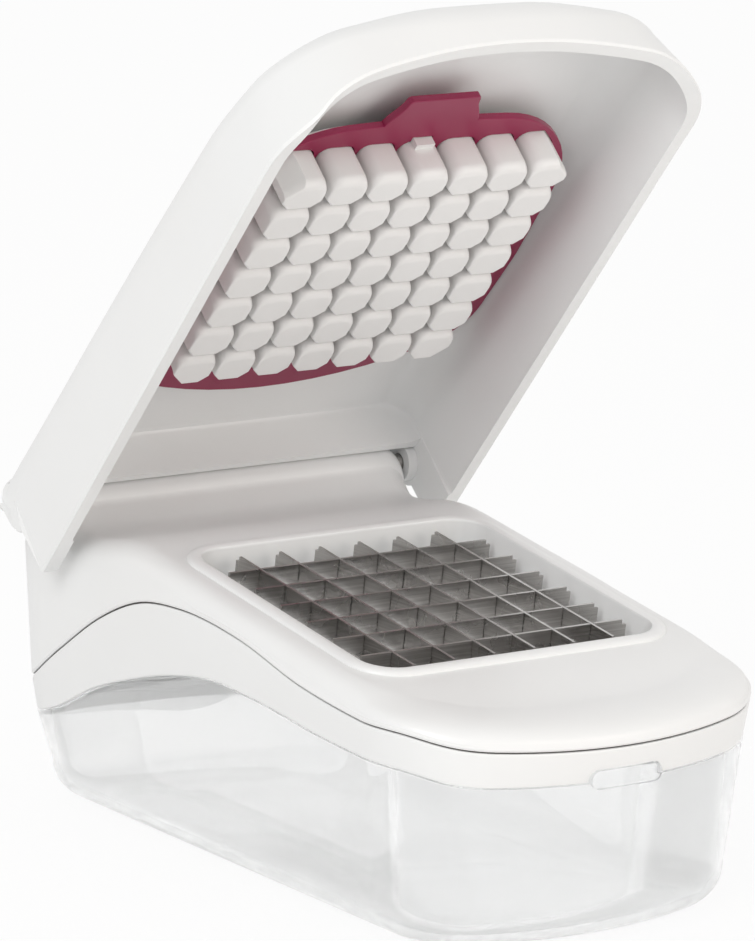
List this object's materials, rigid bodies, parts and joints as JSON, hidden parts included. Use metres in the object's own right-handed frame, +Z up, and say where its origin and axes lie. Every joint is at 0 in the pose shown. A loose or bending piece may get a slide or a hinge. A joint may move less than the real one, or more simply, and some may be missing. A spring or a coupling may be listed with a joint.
{
  "type": "food chopper",
  "caption": "Hand-pressed food chopper: a hinged lid pushes food through a crossed blade grid into a clear tub, with a pull-off cleaning grid.",
  "frame": {"origin": "on the floor under the tub, at the middle of the box round the part with its lid open", "axes": "+Z up, -Y towards the nose and the catch, +Y towards the hinge, X along the hinge axis"},
  "size_m": [0.133, 0.2223, 0.2326],
  "materials": {
    "white_plastic": "satin moulded white plastic",
    "clear_plastic": "polished clear plastic",
    "magenta_plastic": "satin moulded deep magenta plastic",
    "blade_steel": "fine brushed stainless steel",
    "dark_seal": "dark soft seal"
  },
  "bodies": {
    "tub": {"tub": "clear_plastic"},
    "head": {"collar": "white_plastic", "deck_seal": "dark_seal", "deck": "white_plastic", "blade_carrier": "white_plastic", "blade_cross_1": "blade_steel", "blade_cross_2": "blade_steel", "blade_cross_3": "blade_steel", "blade_cross_4": "blade_steel", "blade_cross_5": "blade_steel", "blade_cross_6": "blade_steel", "blade_long_1": "blade_steel", "blade_long_2": "blade_steel", "blade_long_3": "blade_steel", "blade_long_4": "blade_steel", "blade_long_5": "blade_steel", "blade_long_6": "blade_steel", "hinge_pin_left": "blade_steel", "hinge_pin_right": "blade_steel"},
    "lid": {"lid": "white_plastic", "pusher": "white_plastic", "pusher_screw_1": "blade_steel", "pusher_screw_2": "blade_steel", "pusher_screw_3": "blade_steel", "pusher_screw_4": "blade_steel"},
    "cleaning_grid": {"cleaning_grid": "magenta_plastic"}
  },
  "joints": [
    {"name": "head_lift", "type": "slide", "parent": "tub", "child": "head", "axis": [0, 0, 1], "range_m": [0, 0.06]},
    {"name": "lid_hinge", "type": "hinge", "parent": "head", "child": "lid", "pos_m": [0, 0.0808, 0.0851], "axis": [1, 0, 0], "range_deg": [0, 54]},
    {"name": "grid_pull", "type": "slide", "parent": "lid", "child": "cleaning_grid", "axis": [0, -0.7214, -0.6925], "range_m": [0, 0.0042]}
  ]
}
